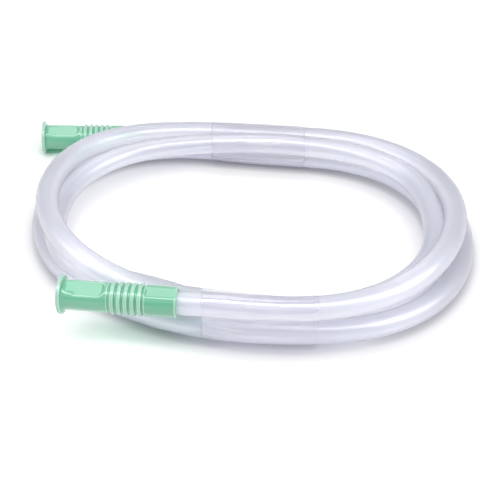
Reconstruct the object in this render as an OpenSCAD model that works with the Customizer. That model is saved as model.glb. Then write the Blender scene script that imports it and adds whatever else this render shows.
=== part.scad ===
// Suction connecting tube, coiled and taped as it comes out of its bag.
// One clear soft tube lies in three and a half turns. A moulded funnel connector is pushed
// on each end, and two bands of clear tape hold the turns together at the front and the back.
// X runs along the long side of the coil, Y away from the front, and Z up from the table.

/* [Tube] */
// Outside diameter of the tube
tube_od = 10.5; // [9:0.1:12]
// Wall of the tube round its open bore
tube_wall = 1.75; // [1.4:0.05:2.2]

/* [Coil] */
// Half the length of the oval that the turns follow
coil_half_l = 94; // [88:1:110]
// Half the width of the oval
coil_half_w = 76; // [70:1:90]
// How square the oval is, where 2 is a true ellipse
coil_square = 2.3; // [2:0.1:3]

/* [Connector outside] */
// Diameter of the plain barrel behind the flange
barrel_d = 12.7; // [12:0.1:13.5]
// Length from the mouth to the first groove
barrel_l = 21; // [18:0.5:25]
// How far the flange stands out from the barrel
flange_w = 2.05; // [1.2:0.05:2.5]
// Thickness of the flange
flange_t = 1.7; // [1.4:0.1:2.4]
// Number of grip ribs
rib_count = 5; // [3:1:7]
// Distance from one grip rib to the next
rib_pitch = 2.85; // [2.3:0.05:3.5]
// Width of the groove on each side of a rib
groove_w = 1; // [0.6:0.1:1.3]
// Depth of a groove below the barrel's surface
groove_depth = 0.3; // [0.1:0.05:0.4]
// How far the ribs stand out from the sleeve
rib_proud = 0.45; // [0.1:0.05:0.6]
// Length of the sleeve that holds the tube
sleeve_l = 13.3; // [12:0.1:20]
// Wall of the sleeve round the tube
sleeve_wall = 1.2; // [1:0.05:1.5]

/* [Connector flats] */
// Depth of the flat thumb panel in the barrel
panel_depth = 1.15; // [0.8:0.05:1.3]
// Width of the thumb panel
panel_w = 7.4; // [6.5:0.1:8.5]
// Clear length between the flange and the thumb panel
panel_margin = 0.6; // [0.3:0.1:2]
// Length over which the panel grows to its full width
panel_taper_l = 5; // [2:0.5:8]
// Radius of the panel's corners by the ribs
panel_corner = 2.6; // [1:0.1:3.5]
// Depth of the flat along the sleeve
sleeve_flat_depth = 0.45; // [0.3:0.05:0.6]
// Turn of the flats away from the top of the connector, towards the front
flat_turn = 17; // [0:1:90]

/* [Connector bore] */
// Bore of the mouth that takes a suction instrument
mouth_d = 8.4; // [7.5:0.1:8.8]
// Depth of the straight bore behind the mouth
mouth_depth = 22; // [15:0.5:24]
// Length of the cone from that bore down to the passage
cone_l = 3; // [2:0.5:5]
// How deep the tube is pushed into its sleeve
tube_grip = 16; // [10:0.5:18]

/* [Tape] */
// Width of each band of tape
tape_w = 48; // [25:1:50]
// Thickness of the tape
tape_t = 0.15; // [0.1:0.05:0.3]
// Where the middle of each band lies along the coil
tape_x = 7; // [-10:1:15]

/* [Hidden] */
// Way round the coil: the angle of the first place and how far the turns go on from it
first_angle = 134.75;
swept_angle = 1334.31;
// Places on the way, each as shares of the tube's diameter: how far out from the oval, then how high
coil_shares = [
    [2.14, 0.69], [0.62, 0.52], [0.32, 0.54], [0.44, 0.53], [0.53, 0.5],
    [0.6, 0.51], [0.99, 0.5], [1.2, 0.54], [1.44, 0.88], [1.09, 1.2],
    [0.41, 0.86], [-0.38, 0.44], [0, 0.55], [0.73, 0.5], [1.24, 0.5],
    [0.84, 0.57], [-0.26, 0.57], [-1.19, 0.5], [-1.33, 0.59], [-0.97, 0.74],
    [-0.42, 0.8], [-0.12, 0.63], [0.14, 0.47], [0.16, 0.54], [-0.2, 0.51],
    [-0.9, 0.64], [-1.03, 1.51], [0.43, 1.55], [0, 1.51], [-0.18, 1.4],
    [-0.6, 1.35], [-1.49, 1.45], [-1.84, 1.61], [-1.94, 1.62], [-1.72, 1.61],
    [-0.89, 1.72], [-0.62, 1.59], [0.08, 1.51], [0.45, 1.52], [0.21, 1.46],
    [-0.43, 1.55], [0.14, 1.93], [0.36, 2.7], [0.22, 2.58], [0.43, 2.26],
    [0.53, 1.91], [-0.26, 1.6], [-0.81, 1.52], [-0.69, 1.37], [-0.03, 1.32],
    [0.21, 1.51], [0.37, 2.01], [0.62, 2.37], [1.34, 2.32], [1.22, 2.23],
    [0.82, 2.4], [0.96, 2.36]
];
// Where the middle of the oval lies, as shares of its half length and half width
coil_shift_share = [0.0308, 0.0371];

// Fine values that keep one place for each piece
socket_clearance = 0.1;
tape_clearance = 0.1;
tube_end_gap = 0.1;
flange_round = 0.6;
flange_fillet = 1.4;
rib_round = 0.7;
sleeve_chamfer = 0.4;
mouth_chamfer = 0.5;
panel_mouth_share = 0.74;

// Steps of the rounded forms
rings_per_place = 3;
tube_sides = 12;
tape_sides = 36;
tape_stations = 9;
arc_steps = 3;
turned_sides = 96;

// Bore of the tube, and the connector's sizes, with its lengths measured from its mouth
tube_id = tube_od - 2 * tube_wall;
socket_d = tube_od + 2 * socket_clearance;
sleeve_d = socket_d + 2 * sleeve_wall;
flange_d = barrel_d + 2 * flange_w;
rib_d = sleeve_d + 2 * rib_proud;
groove_d = barrel_d - 2 * groove_depth;
rib_t = rib_pitch - groove_w;
ribs_end = barrel_l + rib_count * rib_pitch + groove_w;
connector_l = ribs_end + sleeve_l;
tube_stop = connector_l - tube_grip;
panel_start = flange_t + panel_margin;
panel_end = barrel_l - panel_margin;

// Colours
tube_colour = [0.87, 0.87, 0.93, 0.6];
connector_colour = [0.66, 0.89, 0.79];
tape_colour = [0.93, 0.93, 0.96, 0.4];

// The middle line of the tube
// Each place is turned to a point outside or inside the oval, at its height
function place_angle(i) = first_angle - swept_angle * i / (len(coil_shares) - 1);
function oval_radius(a) = 1 / pow(
    pow(abs(cos(a)) / coil_half_l, coil_square) + pow(abs(sin(a)) / coil_half_w, coil_square),
    1 / coil_square);
function place_point(i) =
    let (a = place_angle(i), r = oval_radius(a) + coil_shares[i][0] * tube_od)
    [coil_shift_share[0] * coil_half_l + r * cos(a),
     coil_shift_share[1] * coil_half_w + r * sin(a),
     coil_shares[i][1] * tube_od];
places = [for (i = [0 : len(coil_shares) - 1]) place_point(i)];
last = len(places) - 1;
// One more place past each end keeps the tube straight inside its connector
route = concat([2 * places[0] - places[1]], places, [2 * places[last] - places[last - 1]]);

// A smooth curve with even weights passes near each place
function weights(t) = [pow(1 - t, 3), 3 * pow(t, 3) - 6 * t * t + 4,
                       -3 * pow(t, 3) + 3 * t * t + 3 * t + 1, pow(t, 3)] / 6;
function slopes(t) = [-pow(1 - t, 2), 3 * t * t - 4 * t, -3 * t * t + 2 * t + 1, t * t] / 2;
function blend(i, w) = w[0] * route[i] + w[1] * route[i + 1] + w[2] * route[i + 2] + w[3] * route[i + 3];
steps = rings_per_place * (len(route) - 3);
function line_point(k) = let (i = min(floor(k / rings_per_place), len(route) - 4))
    blend(i, weights(k / rings_per_place - i));
function line_direction(k) = let (i = min(floor(k / rings_per_place), len(route) - 4))
    unit(blend(i, slopes(k / rings_per_place - i)));
function unit(v) = v / norm(v);
middle = [for (k = [0 : steps]) line_point(k)];
heading = [for (k = [0 : steps]) line_direction(k)];

// One ring of points square to the middle line, with a corner straight below it
function ring(k, r) =
    let (side = unit(cross(heading[k], [0, 0, 1])), up = cross(side, heading[k]))
    [for (j = [0 : tube_sides - 1]) let (a = 360 * j / tube_sides)
        middle[k] + r * (side * sin(a) - up * cos(a))];

// Skin of triangles over rings of points, and flat rims that join two such skins
function skin(first, rings, sides, turn) = [
    for (k = [0 : rings - 2], j = [0 : sides - 1])
        let (a = first + k * sides + j, b = first + k * sides + (j + 1) % sides)
        each (turn ? [[a, b, b + sides], [a, b + sides, a + sides]]
                   : [[a, b + sides, b], [a, a + sides, b + sides]])];
function rim(outer, inner, sides, turn) = [
    for (j = [0 : sides - 1]) let (n = (j + 1) % sides)
        turn ? [outer + j, inner + j, inner + n, outer + n]
             : [outer + j, outer + n, inner + n, inner + j]];

// A wall between an outer and an inner set of rings, closed at both ends
module ringed_wall(outer, inner, sides) {
    rings = len(outer) / sides;
    count = len(outer);
    polyhedron(
        points = concat(outer, inner),
        faces = concat(skin(0, rings, sides, false), skin(count, rings, sides, true),
                       rim(0, count, sides, false),
                       rim(count - sides, 2 * count - sides, sides, true)));
}

module tube() {
    color(tube_colour)
        ringed_wall([for (k = [0 : steps]) each ring(k, tube_od / 2)],
                    [for (k = [0 : steps]) each ring(k, tube_id / 2)], tube_sides);
}

// Half section of the connector, from the mouth's edge round the outside and back through the bore
function arc(r, s, radius, from, to) = [
    for (j = [0 : arc_steps]) let (a = from + (to - from) * j / arc_steps)
        [r + radius * cos(a), s + radius * sin(a)]];
function rib_outline(s) = concat(
    [[groove_d / 2, s]],
    arc(rib_d / 2 - rib_round, s + rib_round, rib_round, -90, 0),
    arc(rib_d / 2 - rib_round, s + rib_t - rib_round, rib_round, 0, 90),
    [[groove_d / 2, s + rib_t]]);
connector_outline = concat(
    [[mouth_d / 2 + mouth_chamfer, 0]],
    arc(flange_d / 2 - flange_round, flange_round, flange_round, -90, 0),
    arc(flange_d / 2 - flange_round, flange_t - flange_round, flange_round, 0, 90),
    arc(barrel_d / 2 + flange_fillet, flange_t + flange_fillet, flange_fillet, 270, 180),
    [[barrel_d / 2, barrel_l], [groove_d / 2, barrel_l]],
    [for (k = [0 : rib_count - 1]) each rib_outline(barrel_l + groove_w + k * rib_pitch)],
    [[groove_d / 2, ribs_end], [sleeve_d / 2, ribs_end]],
    [[sleeve_d / 2, connector_l - sleeve_chamfer], [sleeve_d / 2 - sleeve_chamfer, connector_l]],
    [[socket_d / 2, connector_l], [socket_d / 2, tube_stop], [tube_id / 2, tube_stop]],
    [[tube_id / 2, mouth_depth + cone_l], [mouth_d / 2, mouth_depth]],
    [[mouth_d / 2, mouth_chamfer]]);

// Cutter for a flat that lies this far from the axis, seen square to the flat
module flat_cutter(from_axis) {
    translate([from_axis, 0, 0])
        rotate([90, 0, 90])
            linear_extrude(flange_d)
                children();
}

// Thumb panel: narrow by the flange, full width after its taper, with round corners by the ribs
module panel_outline() {
    polygon(concat(
        [[-panel_mouth_share * panel_w / 2, panel_start],
         [panel_mouth_share * panel_w / 2, panel_start],
         [panel_w / 2, panel_start + panel_taper_l]],
        arc(panel_w / 2 - panel_corner, panel_end - panel_corner, panel_corner, 0, 90),
        arc(panel_corner - panel_w / 2, panel_end - panel_corner, panel_corner, 90, 180),
        [[-panel_w / 2, panel_start + panel_taper_l]]));
}

// Flat of the sleeve: it starts over the last groove and passes the sleeve's end
module sleeve_flat_outline() {
    translate([-sleeve_d / 2, ribs_end - groove_w / 2])
        square([sleeve_d, sleeve_l + groove_w]);
}

module connector() {
    color(connector_colour)
        difference() {
            rotate_extrude($fn = turned_sides)
                polygon(connector_outline);
            for (side = [0, 180])
                rotate([0, 0, 180 + flat_turn + side]) {
                    flat_cutter(barrel_d / 2 - panel_depth)
                        panel_outline();
                    flat_cutter(sleeve_d / 2 - sleeve_flat_depth)
                        sleeve_flat_outline();
                }
        }
}

// A connector seated on an end of the tube, pointing from its mouth towards the tube
module seated_connector(tube_end, towards) {
    translate(tube_end - towards * (tube_stop + tube_end_gap))
        rotate([0, acos(towards[2]), atan2(towards[1], towards[0])])
            connector();
}

module back_connector() {
    seated_connector(middle[0], heading[0]);
}

module front_connector() {
    seated_connector(middle[steps], -heading[steps]);
}

// Where the turns on one side of the coil cross a plane at x, with their headings
function crossings(x, side) = [
    for (k = [0 : steps - 1])
        if ((middle[k][0] - x) * (middle[k + 1][0] - x) <= 0 && middle[k][1] * side > 0)
            let (t = (x - middle[k][0]) / (middle[k + 1][0] - middle[k][0]))
            [middle[k] + t * (middle[k + 1] - middle[k]), unit(middle[k + 1] - middle[k])]];

// Reach of a band round those turns in a direction square to X
function reach(found, a, gap) = max([
    for (c = found) let (u = [0, cos(a), sin(a)])
        c[0] * u + tube_od / 2 * sqrt(1 + pow(c[1] * u / c[1][0], 2)) + gap]);
function band_ring(x, side, gap) =
    let (found = crossings(x, side), turn = 360 / tape_sides,
         far = [for (j = [0 : tape_sides]) reach(found, j * turn, gap)])
    [for (j = [0 : tape_sides - 1])
        let (a = j * turn, along = (far[j + 1] - far[j] * cos(turn)) / sin(turn))
        [x, far[j] * cos(a) - along * sin(a), far[j] * sin(a) + along * cos(a)]];
function band_x(j) = tape_x + tape_w * (j / (tape_stations - 1) - 1 / 2);

module tape_band(side) {
    color(tape_colour)
        ringed_wall(
            [for (j = [0 : tape_stations - 1]) each band_ring(band_x(j), side, tape_clearance + tape_t)],
            [for (j = [0 : tape_stations - 1]) each band_ring(band_x(j), side, tape_clearance)],
            tape_sides);
}

module front_tape() {
    tape_band(-1);
}

module back_tape() {
    tape_band(1);
}

tube();
front_connector();
back_connector();
front_tape();
back_tape();
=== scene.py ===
# %% [markdown]
# A suction connecting tube, as it comes out of its bag. One clear soft tube lies in three and a
# half turns, a mint green funnel connector sits on each end, and two bands of clear tape hold the
# turns together. The CAD model gives the place of every piece. This script gives them their looks:
# it loads the frame, sets the camera, makes the tube, the connectors and the tape, mixes their
# materials, and then lights them on a white table.

# %% Load the frame
import math
import bmesh
import bpy
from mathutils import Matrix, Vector


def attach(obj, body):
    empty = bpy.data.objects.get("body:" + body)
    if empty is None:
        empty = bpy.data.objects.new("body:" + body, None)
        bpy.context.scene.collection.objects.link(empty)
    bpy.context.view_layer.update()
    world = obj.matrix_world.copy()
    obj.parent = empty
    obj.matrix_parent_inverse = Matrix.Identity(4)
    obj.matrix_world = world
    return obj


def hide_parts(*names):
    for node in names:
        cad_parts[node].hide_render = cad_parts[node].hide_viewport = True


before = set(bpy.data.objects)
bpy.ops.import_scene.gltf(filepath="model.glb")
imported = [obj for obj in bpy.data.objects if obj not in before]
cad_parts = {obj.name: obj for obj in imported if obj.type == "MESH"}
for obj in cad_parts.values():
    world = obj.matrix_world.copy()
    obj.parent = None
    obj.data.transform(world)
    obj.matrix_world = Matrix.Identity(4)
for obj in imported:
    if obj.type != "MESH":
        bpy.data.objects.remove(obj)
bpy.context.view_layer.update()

MM = 0.001

# %% [markdown]
# The camera comes first. The photograph looks down on the coil at 37 degrees with a long lens. The
# tube keeps its thickness over the picture, so the lens is longer than a normal one: the far turns
# are only a fifth smaller than the near ones. The camera looks at a point of the table near the
# middle of the coil.

# %% Camera
look_at = Vector((2.90, -10.18, 0)) * MM
tilt = math.radians(37)
away = 512.85 * MM
camera_data = bpy.data.cameras.new("photo_camera")
camera_data.sensor_width = 36
camera_data.lens = 1080.3 / 500 * camera_data.sensor_width
camera = bpy.data.objects.new("photo_camera", camera_data)
camera.location = look_at + away * Vector((0, -math.cos(tilt), math.sin(tilt)))
camera.rotation_euler = (math.pi / 2 - tilt, 0, 0)
bpy.context.scene.collection.objects.link(camera)
bpy.context.scene.camera = camera
print("Camera at", [round(v / MM) for v in camera.location], "mm, lens", round(camera_data.lens, 1))

# %% [markdown]
# The tube follows a smooth line past 57 places. Each place is turned to a point near an oval, so
# two shares of the tube's diameter say it all: how far out from the oval, and how high above the
# table. They are the same shares as in the CAD source. A curve with even weights passes near each
# place, and one more place past each end keeps the tube straight inside its connector.

# %% Route of the tube
TUBE_D, BORE_D = 10.5 * MM, 7 * MM
HALF_L, HALF_W, SQUARE = 94 * MM, 76 * MM, 2.3
FIRST_ANGLE, SWEPT = 134.75, 1334.31
SHIFT = (0.0308 * HALF_L, 0.0371 * HALF_W)
coil_shares = [
    (2.14, 0.69), (0.62, 0.52), (0.32, 0.54), (0.44, 0.53), (0.53, 0.5),
    (0.6, 0.51), (0.99, 0.5), (1.2, 0.54), (1.44, 0.88), (1.09, 1.2),
    (0.41, 0.86), (-0.38, 0.44), (0, 0.55), (0.73, 0.5), (1.24, 0.5),
    (0.84, 0.57), (-0.26, 0.57), (-1.19, 0.5), (-1.33, 0.59), (-0.97, 0.74),
    (-0.42, 0.8), (-0.12, 0.63), (0.14, 0.47), (0.16, 0.54), (-0.2, 0.51),
    (-0.9, 0.64), (-1.03, 1.51), (0.43, 1.55), (0, 1.51), (-0.18, 1.4),
    (-0.6, 1.35), (-1.49, 1.45), (-1.84, 1.61), (-1.94, 1.62), (-1.72, 1.61),
    (-0.89, 1.72), (-0.62, 1.59), (0.08, 1.51), (0.45, 1.52), (0.21, 1.46),
    (-0.43, 1.55), (0.14, 1.93), (0.36, 2.7), (0.22, 2.58), (0.43, 2.26),
    (0.53, 1.91), (-0.26, 1.6), (-0.81, 1.52), (-0.69, 1.37), (-0.03, 1.32),
    (0.21, 1.51), (0.37, 2.01), (0.62, 2.37), (1.34, 2.32), (1.22, 2.23),
    (0.82, 2.4), (0.96, 2.36)
]


def place(i):
    a = math.radians(FIRST_ANGLE - SWEPT * i / (len(coil_shares) - 1))
    out, up = coil_shares[i]
    oval = ((abs(math.cos(a)) / HALF_L) ** SQUARE + (abs(math.sin(a)) / HALF_W) ** SQUARE) ** (-1 / SQUARE)
    r = oval + out * TUBE_D
    return Vector((SHIFT[0] + r * math.cos(a), SHIFT[1] + r * math.sin(a), up * TUBE_D))


places = [place(i) for i in range(len(coil_shares))]
route = [2 * places[0] - places[1]] + places + [2 * places[-1] - places[-2]]


def along(u):
    """The point of the middle line u places from its start, and its heading."""
    i = min(int(u), len(route) - 4)
    t = u - i
    w = [(1 - t) ** 3, 3 * t ** 3 - 6 * t * t + 4, -3 * t ** 3 + 3 * t * t + 3 * t + 1, t ** 3]
    s = [-(1 - t) ** 2, 3 * t * t - 4 * t, -3 * t * t + 2 * t + 1, t * t]
    four = route[i:i + 4]
    point = sum((p * k for p, k in zip(four, w)), Vector()) / 6
    heading = sum((p * k for p, k in zip(four, s)), Vector())
    return point, heading.normalized()


TURNS_END = len(route) - 3
RINGS_A_PLACE = 8
stops = [k / RINGS_A_PLACE for k in range(RINGS_A_PLACE * TURNS_END + 1)]
middle = [along(u) for u in stops]
tube_length = sum((b[0] - a[0]).length for a, b in zip(middle, middle[1:]))
print("Tube length in mm:", round(tube_length / MM))


# %% [markdown]
# Every piece ends the same way: its bmesh becomes an object at the origin, with smooth faces.

# %% Finish a mesh
def finish_mesh(bm, name, smooth=True):
    bm.verts.index_update()
    mesh = bpy.data.meshes.new(name)
    bm.to_mesh(mesh)
    bm.free()
    for face in mesh.polygons:
        face.use_smooth = smooth
    piece = bpy.data.objects.new(name, mesh)
    bpy.context.scene.collection.objects.link(piece)
    return piece


# %% [markdown]
# The tube could be a curve with a round bevel, but that makes one skin and no wall. Here a ring of
# points is extruded from place to place along the route. Each ring stands square to the route.

# %% Sweep a ring along the route
def sweep(bm, stations, sides, radius):
    """A skin of rings along the stations; returns its first and last loops of edges."""
    made = bmesh.ops.create_circle(bm, cap_ends=False, segments=sides, radius=radius)
    loop = made["verts"]
    edges = list({e for v in loop for e in v.link_edges})
    shape = [Vector((v.co.x, v.co.y)) for v in loop]
    first = edges

    def stand(verts, station):
        point, heading = station
        side = heading.cross(Vector((0, 0, 1))).normalized()
        up = side.cross(heading)
        for v, flat in zip(verts, shape):
            v.co = point + side * flat.x + up * flat.y

    stand(loop, stations[0])
    for station in stations[1:]:
        new = bmesh.ops.extrude_edge_only(bm, edges=edges)["geom"]
        fresh = {v for v in new if isinstance(v, bmesh.types.BMVert)}
        edges = [e for e in new if isinstance(e, bmesh.types.BMEdge)
                 and e.verts[0] in fresh and e.verts[1] in fresh]
        loop = [next(e.other_vert(v) for e in v.link_edges if e.other_vert(v) in fresh) for v in loop]
        stand(loop, station)
    return first, edges


# %% [markdown]
# The tube is a real one, with a wall and an open bore, because a clear tube shows its bore as a
# second pair of lines. The ring is swept once for the outside and once for the bore, and the two
# skins are bridged at the ends.

# %% The tube
def open_tube(name, stations, sides, outside, inside):
    bm = bmesh.new()
    outer = sweep(bm, stations, sides, outside)
    inner = sweep(bm, stations, sides, inside)
    for a, b in zip(outer, inner):
        bmesh.ops.bridge_loops(bm, edges=a + b)
    bmesh.ops.recalc_face_normals(bm, faces=bm.faces)
    return finish_mesh(bm, name)


tube = open_tube("clear_tube", middle, 40, TUBE_D / 2, BORE_D / 2)
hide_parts("tube")
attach(tube, "root")
print("Tube:", len(tube.data.polygons), "faces")


# %% [markdown]
# Both ends carry the same moulded funnel connector. These are its sizes, the same as in the CAD
# source, and two helpers that draw parts of an outline. Each straight stretch is divided, because
# the flats that come later need rows of points to move.

# %% Sizes of the connector
SOCKET_R, SLEEVE_R, BARREL_R, RIB_R, GROOVE_R = 5.35 * MM, 6.55 * MM, 6.35 * MM, 7.0 * MM, 6.05 * MM
FLANGE_R, FLANGE_T, BARREL_L, RIB_PITCH, RIB_T = 8.4 * MM, 1.7 * MM, 21 * MM, 2.85 * MM, 1.85 * MM
RIBS_END, CONNECTOR_L, TUBE_GRIP = 36.25 * MM, 49.55 * MM, 16 * MM
MOUTH_R, MOUTH_DEPTH, CONE_L = 4.2 * MM, 22 * MM, 3 * MM
TUBE_STOP = CONNECTOR_L - TUBE_GRIP


def arc(r, s, radius, start, end, steps=5):
    """Points of a quarter round, as radius and distance from the mouth."""
    angles = [math.radians(start + (end - start) * k / steps) for k in range(steps + 1)]
    return [(r + radius * math.cos(a), s + radius * math.sin(a)) for a in angles]


def stretch(start, end, step):
    """Evenly spaced points of a straight line, without its last one."""
    count = max(1, round(math.dist(start, end) / step))
    return [tuple(p + (q - p) * k / count for p, q in zip(start, end)) for k in range(count)]


# %% [markdown]
# The half outline is drawn once, from the edge of the mouth over the flange, the barrel, the grip
# ribs and the sleeve, and back through the socket and the bore. Every edge gets the small round
# that a mould leaves. Spinning this outline will make the whole round body.

# %% Outline of the connector
outline = arc(MOUTH_R + 0.5 * MM, 0.5 * MM, 0.5 * MM, 180, 270)
outline += arc(FLANGE_R - 0.6 * MM, 0.6 * MM, 0.6 * MM, -90, 0)
outline += arc(FLANGE_R - 0.75 * MM, FLANGE_T - 0.75 * MM, 0.75 * MM, 0, 90)
outline += arc(BARREL_R + 1.3 * MM, FLANGE_T + 1.3 * MM, 1.3 * MM, 270, 180, 8)
outline += stretch((BARREL_R, FLANGE_T + 1.5 * MM), (BARREL_R, BARREL_L - 0.25 * MM), 0.2 * MM)
outline += arc(BARREL_R - 0.25 * MM, BARREL_L - 0.25 * MM, 0.25 * MM, 0, 90, 3)
for k in range(5):
    s = BARREL_L + RIB_PITCH - RIB_T + k * RIB_PITCH
    outline += [(GROOVE_R + 0.12 * MM, s - 0.42 * MM), (GROOVE_R, s - 0.3 * MM), (GROOVE_R, s - 0.1 * MM)]
    outline += arc(RIB_R - 0.8 * MM, s + 0.8 * MM, 0.8 * MM, -90, 0, 6)
    outline += arc(RIB_R - 0.8 * MM, s + RIB_T - 0.8 * MM, 0.8 * MM, 0, 90, 6)
outline += [(GROOVE_R, RIBS_END - 0.6 * MM), (GROOVE_R, RIBS_END - 0.3 * MM)]
outline += arc(SLEEVE_R - 0.3 * MM, RIBS_END + 0.1 * MM, 0.3 * MM, -90, 0, 3)
outline += stretch((SLEEVE_R, RIBS_END + 0.5 * MM), (SLEEVE_R, CONNECTOR_L - 0.7 * MM), 0.5 * MM)
outline += arc(SLEEVE_R - 0.6 * MM, CONNECTOR_L - 0.6 * MM, 0.6 * MM, 0, 90, 6)
outline += [(SOCKET_R + 0.15 * MM, CONNECTOR_L), (SOCKET_R, CONNECTOR_L - 0.15 * MM)]
outline += stretch((SOCKET_R, CONNECTOR_L - 1 * MM), (SOCKET_R, TUBE_STOP), 4 * MM)
outline += [(SOCKET_R, TUBE_STOP), (BORE_D / 2, TUBE_STOP), (BORE_D / 2, MOUTH_DEPTH + CONE_L)]
outline += stretch((MOUTH_R, MOUTH_DEPTH), (MOUTH_R, 0.6 * MM), 4 * MM)
print("Connector outline:", len(outline), "points")

# %% [markdown]
# The thumb panels and the two long flats of the sleeve are pressed into the round body: a point
# that stands farther out than the flat is moved down to it. A soft minimum does that, so the edge
# keeps the small round that a mould leaves, and that round is what catches the light. The panel
# sinks in gently by the flange and rises in a short slope by the ribs.

# %% Press the flats
FLAT_TURN = math.radians(17)
PANEL_DEPTH, SLEEVE_FLAT = 1.15 * MM, 0.45 * MM


def ease(value, start, end):
    t = min(max((value - start) / (end - start), 0), 1)
    return t * t * (3 - 2 * t)


def panel_sink(s, across):
    """Depth of the thumb panel at a distance s from the mouth, with round corners by the ribs."""
    past_corner = min(max(abs(across) - 1.1 * MM, 0), 2.6 * MM)
    s += 2.6 * MM - math.sqrt((2.6 * MM) ** 2 - past_corner ** 2)
    grown = 0.5 * ease(s, 1.6 * MM, 3.6 * MM) + 0.5 * ease(s, 2.5 * MM, 9 * MM)
    return PANEL_DEPTH * grown * (1 - ease(s, 18.3 * MM, 20.4 * MM))


def sleeve_sink(s):
    return SLEEVE_FLAT * ease(s, RIBS_END + 0.05 * MM, RIBS_END + 0.25 * MM)


def soft_min(value, limit, soft):
    """The smaller of two numbers, rounded where they are near each other."""
    gap = (value - limit) / soft
    if abs(gap) > 1:
        return min(value, limit)
    return min(value, limit) - soft * (1 - abs(gap)) ** 2 / 4


def press_flats(verts):
    """Each point's x, y are across the connector and z is its distance from the mouth."""
    for v in verts:
        radius = math.hypot(v.co.x, v.co.y)
        s = v.co.z
        if radius < SOCKET_R + 0.2 * MM or s < 1.5 * MM:
            continue
        if s < BARREL_L:
            flat, soft = BARREL_R - panel_sink(s, v.co.y), 0.34 * MM
        elif s > RIBS_END:
            flat, soft = SLEEVE_R - sleeve_sink(s), 0.26 * MM
        else:
            continue
        if s < BARREL_L and radius > BARREL_R + 0.4 * MM:
            continue
        away_from_axis = abs(v.co.x)
        pressed = soft_min(away_from_axis, flat, soft)
        if flat < (BARREL_R if s < BARREL_L else SLEEVE_R) - 0.01 * MM and pressed < away_from_axis:
            v.co.x = math.copysign(pressed, v.co.x)


# %% [markdown]
# The outline is spun a full turn with merged ends, the flats are pressed, and the body is turned
# and moved on to its end of the tube. The tube's end stands in the socket, just short of its floor.

# %% The two connectors
def make_connector(name, tube_end, towards):
    bm = bmesh.new()
    corners = [bm.verts.new((r, 0, s)) for r, s in outline]
    rim = [bm.edges.new((p, q)) for p, q in zip(corners, corners[1:] + corners[:1])]
    bmesh.ops.spin(bm, geom=corners + rim, cent=(0, 0, 0), axis=(0, 0, 1), angle=2 * math.pi,
                   steps=160, use_merge=True)
    bmesh.ops.remove_doubles(bm, verts=bm.verts, dist=0.001 * MM)
    press_flats(bm.verts)
    bmesh.ops.recalc_face_normals(bm, faces=bm.faces)
    # the flats face up and a little to the front: local X becomes that direction
    across = towards.cross(Vector((0, 0, 1))).normalized()
    up = across.cross(towards)
    front = -across if across.y > 0 else across
    flat_way = up * math.cos(FLAT_TURN) + front * math.sin(FLAT_TURN)
    third = towards.cross(flat_way)
    mouth = tube_end - towards * (TUBE_STOP + 0.1 * MM)
    for v in bm.verts:
        v.co = mouth + flat_way * v.co.x + third * v.co.y + towards * v.co.z
    piece = finish_mesh(bm, name)
    print(name, "has", len(piece.data.polygons), "faces")
    return piece


back_funnel = make_connector("back_funnel", *middle[0])
front_funnel = make_connector("front_funnel", middle[-1][0], -middle[-1][1])
for piece, node in ((front_funnel, "front_connector"), (back_funnel, "back_connector")):
    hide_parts(node)
    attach(piece, "root")

# %% [markdown]
# Each band of tape is drawn tight round the turns, so its section is the outline that a taut
# thread would take round them. At every angle the farthest tube sets a line that the film touches,
# and the crossings of neighbouring lines are its corners. The loop is then divided evenly.

# %% Section of the film
from mathutils import noise

TAPE_W, TAPE_X, FILM_T, FILM_GAP = 48 * MM, 7 * MM, 0.12 * MM, 0.12 * MM
LINES, LOOP, STATIONS = 120, 150, 49


def crossings(x, side):
    """Where the turns on one side of the coil cross the plane at x, with their headings there."""
    found = []
    for (p, a), (q, b) in zip(middle, middle[1:]):
        if (p.x - x) * (q.x - x) <= 0 and p.y * side > 0:
            t = (x - p.x) / (q.x - p.x)
            found.append((p.lerp(q, t), a.lerp(b, t)))
    return found


def taut_loop(x, side, gap):
    """Evenly spaced points of the film's section at x."""
    found = crossings(x, side)
    lines = []
    for k in range(LINES):
        u = Vector((0, math.cos(math.tau * k / LINES), math.sin(math.tau * k / LINES)))
        lines.append(max(c.dot(u) + TUBE_D / 2 * math.sqrt(1 + (h.dot(u) / h.x) ** 2) + gap
                         for c, h in found))
    corners = []
    turn = math.tau / LINES
    for k in range(LINES):
        a, near, far = k * turn, lines[k], lines[(k + 1) % LINES]
        along_line = (far - near * math.cos(turn)) / math.sin(turn)
        corners.append(Vector((x, near * math.cos(a) - along_line * math.sin(a),
                               near * math.sin(a) + along_line * math.cos(a))))
    corners.append(corners[0])
    lengths = [(q - p).length for p, q in zip(corners, corners[1:])]
    total, even, k, passed = sum(lengths), [], 0, 0.0
    for j in range(LOOP):
        goal = total * j / LOOP
        while passed + lengths[k] < goal:
            passed += lengths[k]
            k += 1
        even.append(corners[k].lerp(corners[k + 1], (goal - passed) / lengths[k]))
    return even


# %% [markdown]
# Clear tape never lies quite smooth. Shallow folds run across the band and a few bubbles stay under
# it. Noise read at each point lifts the film off by less than half a millimetre, so the creases are
# real shape that the gloss shows.

# %% Creases and bubbles
def crease(p, seed):
    """How far the film lifts off at a point: long folds across the band and small bubbles."""
    long_fold = noise.noise(Vector((p.x * 160, p.y * 420, p.z * 420 + seed)))
    bubble = noise.noise(Vector((p.x * 420, p.y * 700, p.z * 700 - seed)))
    return max(0, long_fold - 0.15) * 0.25 * MM + max(0, bubble - 0.3) * 0.35 * MM


# %% [markdown]
# A ring is extruded from section to section across the band, once for the outer face of the film
# and once for the inner one, and the two skins are bridged at both edges of the tape.

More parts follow.
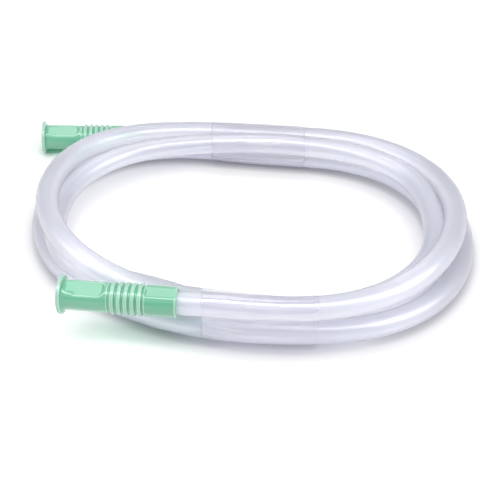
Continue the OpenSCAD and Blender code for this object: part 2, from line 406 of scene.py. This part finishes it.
# %% The two bands
def make_band(name, side, seed):
    bm = bmesh.new()
    skins = []
    for gap in (FILM_GAP + FILM_T, FILM_GAP):
        loop = bmesh.ops.create_circle(bm, cap_ends=False, segments=LOOP, radius=1)["verts"]
        edges = list({e for v in loop for e in v.link_edges})
        ends = [edges]
        for j in range(STATIONS):
            x = TAPE_X + TAPE_W * (j / (STATIONS - 1) - 0.5)
            section = taut_loop(x, side, gap)
            centre = sum(section, Vector()) / LOOP
            if j:
                new = bmesh.ops.extrude_edge_only(bm, edges=edges)["geom"]
                fresh = {v for v in new if isinstance(v, bmesh.types.BMVert)}
                edges = [e for e in new if isinstance(e, bmesh.types.BMEdge)
                         and e.verts[0] in fresh and e.verts[1] in fresh]
                loop = [next(e.other_vert(v) for e in v.link_edges if e.other_vert(v) in fresh) for v in loop]
            for v, p in zip(loop, section):
                out = Vector((0, p.y - centre.y, p.z - centre.z)).normalized()
                v.co = p + out * crease(p, seed) * ease(p.z, 1 * MM, 6 * MM)
        ends.append(edges)
        skins.append(ends)
    for a, b in zip(*skins):
        bmesh.ops.bridge_loops(bm, edges=a + b)
    bmesh.ops.recalc_face_normals(bm, faces=bm.faces)
    piece = finish_mesh(bm, name)
    print(name, "has", len(piece.data.polygons), "faces")
    return piece


front_film = make_band("front_film", -1, 3.0)
back_film = make_band("back_film", 1, 11.0)
for piece, node in ((front_film, "front_tape"), (back_film, "back_tape")):
    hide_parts(node)
    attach(piece, "root")

# %% [markdown]


# %% [markdown]
# Shader maths reads best as plain sums. This small class wraps a socket, so that an expression on
# it adds the Math nodes, and one method adds any other node. A name such as i3 stands for the
# node's input of that number, because the inputs of Math and Mix nodes share their names.

# %% Shader helpers
class Wire:
    def __init__(self, tree, socket=None):
        self.tree, self.socket = tree, socket

    def node(self, kind, settings=None, out=0, **inputs):
        made = self.tree.nodes.new(kind)
        for name, value in (settings or {}).items():
            if name == "stops":
                ramp = made.color_ramp
                while len(ramp.elements) < len(value):
                    ramp.elements.new(0.5)
                for element, (at, colour) in zip(ramp.elements, value):
                    element.position, element.color = at, (*colour, 1)
            else:
                setattr(made, name, value)
        for name, value in inputs.items():
            key = int(name[1:]) if name[0] == "i" and name[1:].isdigit() else name.replace("_", " ")
            if isinstance(value, Wire):
                self.tree.links.new(value.socket, made.inputs[key])
            else:
                made.inputs[key].default_value = value
        return Wire(self.tree, made.outputs[out])

    def maths(self, operation, *values):
        return self.node("ShaderNodeMath", {"operation": operation},
                         **{"i%d" % k: v for k, v in enumerate(values)})

    def __add__(self, other): return self.maths("ADD", self, other)
    def __radd__(self, other): return self.maths("ADD", other, self)
    def __sub__(self, other): return self.maths("SUBTRACT", self, other)
    def __rsub__(self, other): return self.maths("SUBTRACT", other, self)
    def __mul__(self, other): return self.maths("MULTIPLY", self, other)
    def __rmul__(self, other): return self.maths("MULTIPLY", other, self)
    def __pow__(self, other): return self.maths("POWER", self, other)


def start_material(name):
    """An empty material, and a wire to ask its nodes of."""
    material = bpy.data.materials.new(name)
    material.use_nodes = True
    material.node_tree.nodes.clear()
    return material, Wire(material.node_tree)


def put_on(material, surface, pieces):
    """Ends the material with its surface and gives it to the pieces."""
    output = surface.tree.nodes.new("ShaderNodeOutputMaterial")
    surface.tree.links.new(surface.socket, output.inputs["Surface"])
    for piece in pieces:
        piece.data.materials.append(material)
    print(material.name, "has", len(surface.tree.nodes), "nodes")


# %% [markdown]
# Four kinds of node come again in every material. The facing value is 0 where a surface looks at
# the viewer and 1 at its outline. A ray value is 1 for one kind of light ray, so a surface can be
# one thing to the camera and another to its own shadow.

# %% Small shader tools
def facing(w, blend=0.5):
    return w.node("ShaderNodeLayerWeight", out="Facing", Blend=blend)


def ray(w, kind):
    return w.node("ShaderNodeLightPath", out="Is %s Ray" % kind)


def mix_shader(w, share, first, second):
    return w.node("ShaderNodeMixShader", i0=share, i1=first, i2=second)


def mix_colour(w, share, first, second):
    return w.node("ShaderNodeMix", {"data_type": "RGBA"}, out=2, i0=share, i6=first, i7=second)


def ramp_over(w, value, start, end, low, high, kind="LINEAR"):
    """Goes from low to high while the value goes from start to end."""
    return w.node("ShaderNodeMapRange", {"interpolation_type": kind},
                  i0=value, i1=start, i2=end, i3=low, i4=high)


def shown_rays(w):
    """1 for the rays that show the white studio: to the camera, in gloss and through clear plastic."""
    return w.maths("MAXIMUM", ray(w, "Camera"), w.maths("MAXIMUM", ray(w, "Glossy"), ray(w, "Transmission")))


# %% [markdown]
# The tube is soft clear plastic with a milky satin skin and a faint lavender tint. A plain
# see-through shader would lose the dark outlines and the bent lines of the turns behind it, so this
# is a glass with real refraction. It is rough, so each wall blurs the light a little, and an eighth
# of it is not glass but plain white plastic, the milk. A broad soft coat gives the wide highlights.
# Seen edge on, a wall this thick takes up more light, so the tint deepens towards the outline,
# partly as real tint and partly as painted shade, and a dark grey shader mixed in along the
# outline is painted shade.

# %% Clear tube material
CLEAR, SLOPED, EDGE_TINT_AND_SHADE = (0.955, 0.96, 1.0), (0.935, 0.942, 0.995), (0.8, 0.8, 0.9)
clear_plastic, w = start_material("clear_plastic")
where = w.node("ShaderNodeTexCoord", out="Object")
cloud = w.node("ShaderNodeTexNoise", Vector=where, Scale=60.0, Detail=2.0)
# The tint deepens towards the outline: partly the thick wall's real tint, partly painted shade.
tints = {"stops": [(0.0, CLEAR), (0.8, SLOPED), (1.0, EDGE_TINT_AND_SHADE)]}
tint = w.node("ShaderNodeValToRGB", tints, Fac=facing(w, 0.35))
glass = w.node("ShaderNodeBsdfPrincipled", Base_Color=tint, Roughness=0.285 + cloud * 0.04, IOR=1.45,
               Transmission_Weight=0.88, Coat_Weight=1.0, Coat_Roughness=0.36, Coat_IOR=1.7)
# Painted shade: a dark grey matt shader mixed in along the tube's outline.
painted_outline_shade = w.node("ShaderNodeBsdfPrincipled", Base_Color=(0.42, 0.42, 0.52, 1), Roughness=0.5)
skin = mix_shader(w, facing(w) ** 5 * 0.7, glass, painted_outline_shade)

# %% [markdown]
# Cycles finds no light through glass for a shadow, which would come out far too dark. So a ray
# towards a lamp, and one that gathers light for a matt surface, pass straight through a wall and
# are only dimmed by it. A ray crosses four walls in each turn of the tube.

# %% Light through the tube
dimmed = w.node("ShaderNodeBsdfTransparent", Color=(0.88, 0.88, 0.91, 1))
spread = w.node("ShaderNodeBsdfTransparent", Color=(0.95, 0.95, 0.97, 1))
skin = mix_shader(w, ray(w, "Diffuse"), skin, spread)
skin = mix_shader(w, ray(w, "Shadow"), skin, dimmed)
put_on(clear_plastic, skin, [tube])

# %% [markdown]
# The connectors are moulded in soft mint green plastic with a satin gloss. Light soaks into such
# plastic, so it looks paler where it is thin or seen edge on. Subsurface scattering would do that
# slowly and with noise, so here the facing value paints a pale mint rim into the colour as painted
# light. The pointiness, which tells crests from hollows, adds a painted highlight of pale mint along
# each crest and rim and a painted shade of deep green in the grooves.

# %% Green connector material
RIM_LIGHT_MINT, CREST_HIGHLIGHT_MINT, GROOVE_SHADE_GREEN = (0.56, 0.86, 0.74, 1), (0.56, 0.88, 0.74, 1), (0.1, 0.4, 0.24, 1)
mint_plastic, w = start_material("mint_plastic")
where = w.node("ShaderNodeTexCoord", out="Object")
grain = w.node("ShaderNodeTexNoise", Vector=where, Scale=900.0, Detail=2.0)
shade = w.node("ShaderNodeTexNoise", Vector=where, Scale=40.0, Detail=1.0)
mints = {"stops": [(0.35, (0.12, 0.52, 0.3)), (0.65, (0.15, 0.56, 0.34))]}
mint = w.node("ShaderNodeValToRGB", mints, Fac=shade)
# Painted light: the facing value paints a pale mint rim where the plastic is seen edge on.
mint = mix_colour(w, facing(w) ** 3 * 0.9, mint, RIM_LIGHT_MINT)
sharp = w.node("ShaderNodeNewGeometry", out="Pointiness")
# Painted highlight: pale mint along each crest and rim, found by the pointiness.
mint = mix_colour(w, ramp_over(w, sharp, 0.505, 0.525, 0.0, 0.8), mint, CREST_HIGHLIGHT_MINT)
# Painted shade: a deep green in the grooves and other hollows.
mint = mix_colour(w, ramp_over(w, sharp, 0.495, 0.475, 0.0, 0.8), mint, GROOVE_SHADE_GREEN)

# %% [markdown]
# A very fine grain roughens the skin, and a smooth coat over it gives the crisp lines of light on
# the edges of the flats. A little green light gets through the walls and colours the shadow.

# %% Gloss of the connectors
bump = w.node("ShaderNodeBump", Strength=0.05, Distance=0.0002, Height=grain)
body = w.node("ShaderNodeBsdfPrincipled", Base_Color=mint, Roughness=0.26 + grain * 0.06, Normal=bump,
              Coat_Weight=1.0, Coat_Roughness=0.11, Coat_IOR=1.75)
green_light = w.node("ShaderNodeBsdfTransparent", Color=(0.3, 0.68, 0.52, 1))
put_on(mint_plastic, mix_shader(w, ray(w, "Shadow"), body, green_light), [front_funnel, back_funnel])

# %% [markdown]
# The tape is a thin clear film. Refraction in so thin a sheet moves nothing, so it is a plain
# see-through shader with a mirror mixed in: a little all over, more along the streaks that the
# film has from drawing it out, and most where it is seen edge on. The front band is pulled tight
# and shiny, and the back one is dull. Fine wrinkles break up what it mirrors.

# %% Tape material
clear_film, w = start_material("clear_film")
where = w.node("ShaderNodeTexCoord", out="Object")
depth = w.node("ShaderNodeSeparateXYZ", out="Y", Vector=where)
wrinkle = w.node("ShaderNodeTexNoise", Vector=where, Scale=260.0, Detail=3.0)
bump = w.node("ShaderNodeBump", Strength=0.12, Distance=0.0004, Height=wrinkle)
mirror = w.node("ShaderNodeBsdfPrincipled", Base_Color=(1, 1, 1, 1), Metallic=1.0, Normal=bump,
                Roughness=ramp_over(w, depth, -0.03, 0.03, 0.07, 0.34))
clear = w.node("ShaderNodeBsdfTransparent", Color=(0.975, 0.97, 0.98, 1))
drawn_out = w.node("ShaderNodeMapping", Vector=where, Scale=(14, 420, 420))
streak = w.node("ShaderNodeTexNoise", Vector=drawn_out, Scale=1.0, Detail=2.0)
streak = ramp_over(w, streak, 0.5, 0.7, 0.0, 0.16)
seen = 1.0 - w.maths("MAXIMUM", ray(w, "Shadow"), ray(w, "Diffuse"))
put_on(clear_film, mix_shader(w, (facing(w) ** 5 * 0.5 + 0.05 + streak) * seen, clear, mirror),
       [front_film, back_film])

# %% [markdown]
# The table is a plain white sheet. Its paper takes the shadows that the lamps throw. The white all
# round the object is a glow that only the camera, gloss and clear plastic see, so it puts no more
# light on the object. Ambient occlusion, which is low where things stand close together, paints
# shade on the table: it takes the glow away next to the tube, and a painted contact shadow darkens
# the paper's colour right where the tube touches it.

# %% Table
bm = bmesh.new()
bmesh.ops.create_grid(bm, x_segments=1, y_segments=1, size=3)
table = finish_mesh(bm, "table", smooth=False)
white_table, w = start_material("white_table")
where = w.node("ShaderNodeTexCoord", out="Object")
paper = w.node("ShaderNodeTexNoise", Vector=where, Scale=30.0)
from_middle = w.node("ShaderNodeVectorMath", {"operation": "LENGTH"}, out="Value", i0=where)
painted_shade_near = w.node("ShaderNodeAmbientOcclusion", {"samples": 16}, out="AO", Distance=0.012)
painted_contact_shadow = w.node("ShaderNodeAmbientOcclusion", {"samples": 16}, out="AO", Distance=0.0045)


def grey(w, level):
    return w.node("ShaderNodeCombineColor", Red=level, Green=level, Blue=level)


# The glow is weaker near the middle of the coil, and ambient occlusion takes it away next to the tube as
# painted shade.
glow = ramp_over(w, from_middle, 0.1, 0.5, 0.32, 0.7, "SMOOTHSTEP") * painted_shade_near ** 2.2
glow = mix_colour(w, shown_rays(w), (0, 0, 0, 1), grey(w, glow))
# Painted contact shadow: ambient occlusion darkens the paper's colour where the tube touches it.
sheet = w.node("ShaderNodeBsdfPrincipled", Base_Color=grey(w, painted_contact_shadow * 0.5 + 0.44),
               Roughness=0.7 + paper * 0.05, Specular_IOR_Level=0.0, Emission_Color=glow, Emission_Strength=1.0)
put_on(white_table, sheet, [table])

# %% [markdown]
# Most of the light falls from above and a little from the front, from a long narrow lamp, which
# draws the crisp line on the front tape. Two square lamps at the front corners fill it in, a weak
# one stands in front, and the one behind lays a sheen on the thumb panels and the flats. Together
# they bring a white surface on the table to about 0.9, so colours render about as they are written.

# %% Lamps
LAMPS = (
    # name, place, aim, width and depth, all in metres, and power in watts
    ("top_lamp", (-0.03, -0.25, 0.68), (0, -0.03, 0), 0.8, 0.18, 2.4),
    ("back_lamp", (-0.16, 0.28, 0.75), (-0.06, 0, 0), 0.5, 0.42, 1.15),
    ("left_lamp", (-0.6, -0.2, 0.47), (0, 0, 0), 0.45, 0.45, 1.4),
    ("right_lamp", (0.6, -0.2, 0.47), (0, 0, 0), 0.45, 0.45, 2.2),
    ("front_lamp", (0, -0.55, 0.45), (0, 0, 0), 0.8, 0.3, 0.3),
)
for name, stand, aim, width, height, power in LAMPS:
    data = bpy.data.lights.new(name, "AREA")
    data.shape, data.size, data.size_y, data.energy = "RECTANGLE", width, height, power
    lamp = bpy.data.objects.new(name, data)
    lamp.location = stand
    lamp.rotation_euler = (Vector(aim) - Vector(stand)).to_track_quat("-Z", "Y").to_euler()
    bpy.context.scene.collection.objects.link(lamp)
print("Lamps:", sum(lamp[-1] for lamp in LAMPS), "watts")

# %% [markdown]
# The room round the table is white to the camera, to gloss and through clear plastic, and lights
# matt surfaces only a little. A look through three turns crosses twelve walls and the film, so the
# light paths may be longer than usual: with the usual limits the turns under the tape go grey.

# %% Room and light paths
ROOM_LIGHT, ROOM_SHOWN = 0.1, 0.72
world = bpy.data.worlds.new("studio")
world.use_nodes = True
w = Wire(world.node_tree)
background = world.node_tree.nodes["Background"]
background.inputs["Color"].default_value = (0.94, 0.95, 1, 1)
strength = shown_rays(w) * ROOM_SHOWN + ROOM_LIGHT
world.node_tree.links.new(strength.socket, background.inputs["Strength"])
bpy.context.scene.world = world
bpy.context.scene.view_settings.view_transform = "Standard"
cycles = bpy.context.scene.cycles
cycles.max_bounces = cycles.transmission_bounces = 24
cycles.transparent_max_bounces = 48
print("Light paths:", cycles.max_bounces, "bounces,", cycles.transparent_max_bounces, "see-through")
